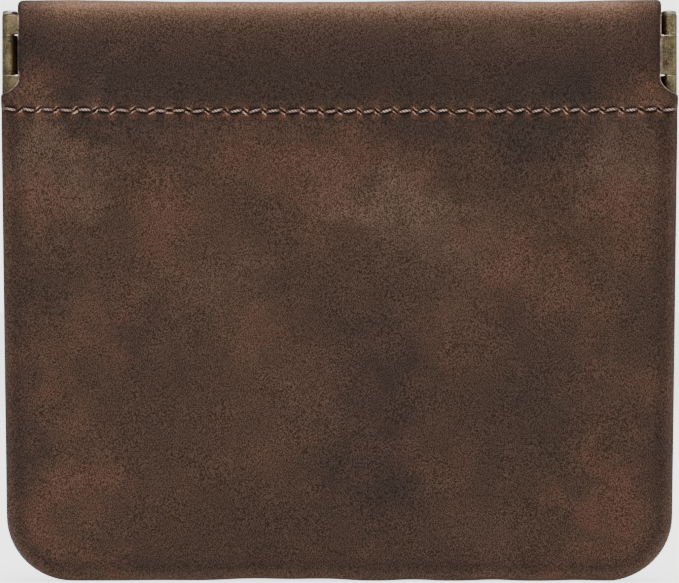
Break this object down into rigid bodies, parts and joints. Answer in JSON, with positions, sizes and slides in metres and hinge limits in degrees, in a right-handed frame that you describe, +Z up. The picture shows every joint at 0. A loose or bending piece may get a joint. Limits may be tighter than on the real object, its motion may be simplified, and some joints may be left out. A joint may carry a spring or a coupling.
{
  "type": "coin purse",
  "caption": "Flat leather coin purse whose sprung metal mouth opens when its two ends are pressed together and snaps shut when let go.",
  "frame": {"origin": "under the middle of the bottom seam, where the front and the back half meet", "axes": "+Z up towards the mouth, +X along the mouth to the right as the front is seen, front faces -Y"},
  "size_m": [0.11, 0.0086, 0.0942],
  "materials": {
    "leather": "oiled pull-up leather, satin",
    "antique_brass": "antique plated, worn",
    "spring_steel": "bright rolled",
    "pin_brass": "antique plated, bright on the heads",
    "thread": "waxed twisted thread"
  },
  "bodies": {
    "root": {"front_panel": "leather", "back_panel": "leather", "seam_thread": "thread"},
    "left_pin": {"left_hinge_pin": "pin_brass"},
    "front_1": {"front_strip_1": "antique_brass", "front_spring_1": "spring_steel", "front_channel_1": "leather"},
    "back_1": {"back_strip_1": "antique_brass", "back_spring_1": "spring_steel", "back_channel_1": "leather"},
    "front_2": {"front_strip_2": "antique_brass", "front_spring_2": "spring_steel", "front_channel_2": "leather"},
    "back_2": {"back_strip_2": "antique_brass", "back_spring_2": "spring_steel", "back_channel_2": "leather"},
    "front_3": {"front_strip_3": "antique_brass", "front_spring_3": "spring_steel", "front_channel_3": "leather"},
    "back_3": {"back_strip_3": "antique_brass", "back_spring_3": "spring_steel", "back_channel_3": "leather"},
    "front_4": {"front_strip_4": "antique_brass", "front_spring_4": "spring_steel", "front_channel_4": "leather"},
    "back_4": {"back_strip_4": "antique_brass", "back_spring_4": "spring_steel", "back_channel_4": "leather"},
    "front_5": {"front_strip_5": "antique_brass", "front_spring_5": "spring_steel", "front_channel_5": "leather"},
    "back_5": {"back_strip_5": "antique_brass", "back_spring_5": "spring_steel", "back_channel_5": "leather"},
    "front_6": {"front_strip_6": "antique_brass", "front_spring_6": "spring_steel", "front_channel_6": "leather"},
    "back_6": {"back_strip_6": "antique_brass", "back_spring_6": "spring_steel", "back_channel_6": "leather"},
    "front_7": {"front_strip_7": "antique_brass", "front_spring_7": "spring_steel", "front_channel_7": "leather"},
    "back_7": {"back_strip_7": "antique_brass", "back_spring_7": "spring_steel", "back_channel_7": "leather", "right_hinge_pin": "pin_brass"},
    "front_left": {"front_left_wall": "leather", "front_left_stitches": "thread"},
    "front_right": {"front_right_wall": "leather", "front_right_stitches": "thread"},
    "back_left": {"back_left_wall": "leather", "back_left_stitches": "thread"},
    "back_right": {"back_right_wall": "leather", "back_right_stitches": "thread"}
  },
  "joints": [
    {"name": "squeeze", "type": "slide", "parent": "root", "child": "left_pin", "axis": [1, 0, 0], "range_m": [0, 0.00409], "stiffness_N_per_m": 200, "springref_m": -0.004},
    {"name": "front_left_hinge", "type": "hinge", "parent": "left_pin", "child": "front_1", "pos_m": [-0.0537, 0, 0.08555], "axis": [0, 0, 1], "range_deg": [-30, 0]},
    {"name": "front_flex_1", "type": "hinge", "parent": "front_1", "child": "front_2", "pos_m": [-0.03836, -0.00176, 0.08555], "axis": [0, 0, 1], "range_deg": [0, 10]},
    {"name": "front_flex_2", "type": "hinge", "parent": "front_2", "child": "front_3", "pos_m": [-0.02301, -0.00176, 0.08555], "axis": [0, 0, 1], "range_deg": [0, 10]},
    {"name": "front_flex_3", "type": "hinge", "parent": "front_3", "child": "front_4", "pos_m": [-0.00767, -0.00176, 0.08555], "axis": [0, 0, 1], "range_deg": [0, 10]},
    {"name": "front_flex_4", "type": "hinge", "parent": "front_4", "child": "front_5", "pos_m": [0.00767, -0.00176, 0.08555], "axis": [0, 0, 1], "range_deg": [0, 10]},
    {"name": "front_flex_5", "type": "hinge", "parent": "front_5", "child": "front_6", "pos_m": [0.02301, -0.00176, 0.08555], "axis": [0, 0, 1], "range_deg": [0, 10]},
    {"name": "front_flex_6", "type": "hinge", "parent": "front_6", "child": "front_7", "pos_m": [0.03836, -0.00176, 0.08555], "axis": [0, 0, 1], "range_deg": [0, 10]},
    {"name": "back_left_hinge", "type": "hinge", "parent": "left_pin", "child": "back_1", "pos_m": [-0.0537, 0, 0.08555], "axis": [0, 0, 1], "range_deg": [0, 30]},
    {"name": "back_flex_1", "type": "hinge", "parent": "back_1", "child": "back_2", "pos_m": [-0.03836, 0.00176, 0.08555], "axis": [0, 0, 1], "range_deg": [-10, 0]},
    {"name": "back_flex_2", "type": "hinge", "parent": "back_2", "child": "back_3", "pos_m": [-0.02301, 0.00176, 0.08555], "axis": [0, 0, 1], "range_deg": [-10, 0]},
    {"name": "back_flex_3", "type": "hinge", "parent": "back_3", "child": "back_4", "pos_m": [-0.00767, 0.00176, 0.08555], "axis": [0, 0, 1], "range_deg": [-10, 0]},
    {"name": "back_flex_4", "type": "hinge", "parent": "back_4", "child": "back_5", "pos_m": [0.00767, 0.00176, 0.08555], "axis": [0, 0, 1], "range_deg": [-10, 0]},
    {"name": "back_flex_5", "type": "hinge", "parent": "back_5", "child": "back_6", "pos_m": [0.02301, 0.00176, 0.08555], "axis": [0, 0, 1], "range_deg": [-10, 0]},
    {"name": "back_flex_6", "type": "hinge", "parent": "back_6", "child": "back_7", "pos_m": [0.03836, 0.00176, 0.08555], "axis": [0, 0, 1], "range_deg": [-10, 0]},
    {"name": "front_left_lean", "type": "hinge", "parent": "root", "child": "front_left", "pos_m": [-0.05152, -0.00943, 0.0617], "axis": [0, 0, 1], "range_deg": [-16.94, 0]},
    {"name": "front_right_lean", "type": "hinge", "parent": "root", "child": "front_right", "pos_m": [0.05152, -0.00943, 0.0617], "axis": [0, 0, 1], "range_deg": [0, 16.94]},
    {"name": "back_left_lean", "type": "hinge", "parent": "root", "child": "back_left", "pos_m": [-0.05152, 0.00943, 0.0617], "axis": [0, 0, 1], "range_deg": [0, 16.94]},
    {"name": "back_right_lean", "type": "hinge", "parent": "root", "child": "back_right", "pos_m": [0.05152, 0.00943, 0.0617], "axis": [0, 0, 1], "range_deg": [-16.94, 0]}
  ],
  "couplings": [
    {"joint": "front_left_hinge", "follows": "squeeze", "rad_per_m": -127.98},
    {"joint": "front_flex_1", "follows": "squeeze", "rad_per_m": 42.658},
    {"joint": "front_flex_2", "follows": "squeeze", "rad_per_m": 42.658},
    {"joint": "front_flex_3", "follows": "squeeze", "rad_per_m": 42.658},
    {"joint": "front_flex_4", "follows": "squeeze", "rad_per_m": 42.658},
    {"joint": "front_flex_5", "follows": "squeeze", "rad_per_m": 42.658},
    {"joint": "front_flex_6", "follows": "squeeze", "rad_per_m": 42.658},
    {"joint": "back_left_hinge", "follows": "squeeze", "rad_per_m": 127.98},
    {"joint": "back_flex_1", "follows": "squeeze", "rad_per_m": -42.658},
    {"joint": "back_flex_2", "follows": "squeeze", "rad_per_m": -42.658},
    {"joint": "back_flex_3", "follows": "squeeze", "rad_per_m": -42.658},
    {"joint": "back_flex_4", "follows": "squeeze", "rad_per_m": -42.658},
    {"joint": "back_flex_5", "follows": "squeeze", "rad_per_m": -42.658},
    {"joint": "back_flex_6", "follows": "squeeze", "rad_per_m": -42.658},
    {"joint": "front_left_lean", "follows": "squeeze", "rad_per_m": -72.277},
    {"joint": "front_right_lean", "follows": "squeeze", "rad_per_m": 72.277},
    {"joint": "back_left_lean", "follows": "squeeze", "rad_per_m": 72.277},
    {"joint": "back_right_lean", "follows": "squeeze", "rad_per_m": -72.277}
  ]
}
